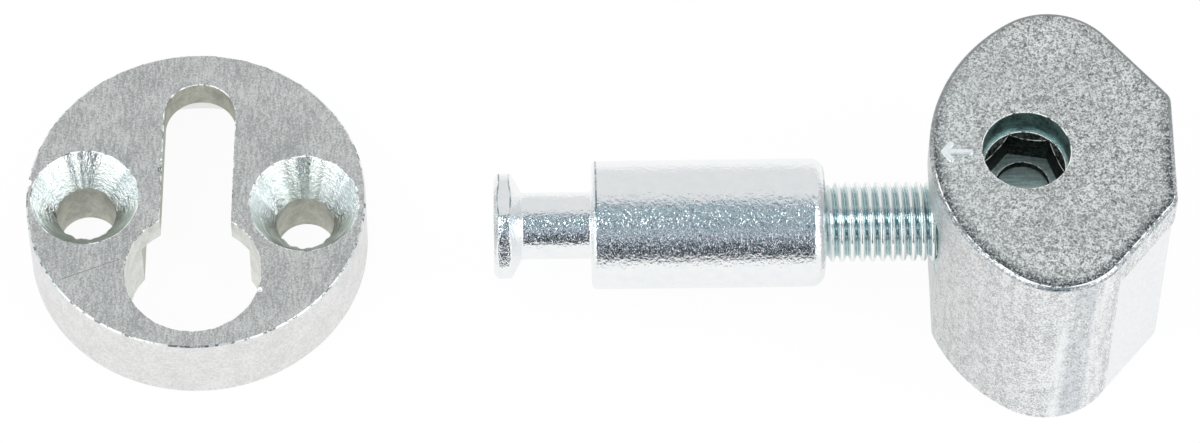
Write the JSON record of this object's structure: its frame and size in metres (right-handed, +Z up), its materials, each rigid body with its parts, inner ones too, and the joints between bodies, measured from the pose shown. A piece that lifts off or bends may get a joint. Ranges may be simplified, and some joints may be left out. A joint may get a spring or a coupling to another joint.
{
  "type": "handrail connector bolt",
  "caption": "Hidden rail connector: a socket key turns bevel gears in a cast housing and draws in a shoulder bolt, whose head hooks into a round keyhole plate.",
  "frame": {"origin": "foot of the housing, under the axis of the drive hole", "axes": "+Z up out of the drive hole, -X along the bolt towards its head and the plate"},
  "size_m": [0.0842, 0.0284, 0.0192],
  "materials": {
    "cast_body": "grainy zinc-plated casting",
    "cast_cap": "grainy zinc-plated casting",
    "gear_steel": "dull zinc-plated steel",
    "bolt_steel": "bright zinc-plated steel",
    "plate_metal": "satin brushed metal"
  },
  "bodies": {
    "housing": {"gear_housing": "cast_body", "housing_cap": "cast_cap", "keyhole_plate": "plate_metal"},
    "drive": {"drive_gear": "gear_steel"},
    "nut": {"nut_gear": "gear_steel"},
    "bolt": {"shoulder_bolt": "bolt_steel"}
  },
  "joints": [
    {"name": "bolt_slide", "type": "slide", "parent": "housing", "child": "bolt", "axis": [1, 0, 0], "range_m": [-0.003, 0.0081]},
    {"name": "drive_turn", "type": "hinge", "parent": "housing", "child": "drive", "pos_m": [0, 0, 0.0168], "axis": [0, 0, 1], "range_deg": [-4870, 1805]},
    {"name": "nut_turn", "type": "hinge", "parent": "housing", "child": "nut", "pos_m": [-0.0045, 0, 0.0092], "axis": [1, 0, 0], "range_deg": [-3896, 1444]}
  ],
  "couplings": [
    {"joint": "drive_turn", "follows": "bolt_slide", "rad_per_m": -10472},
    {"joint": "nut_turn", "follows": "bolt_slide", "rad_per_m": -8377.6}
  ]
}
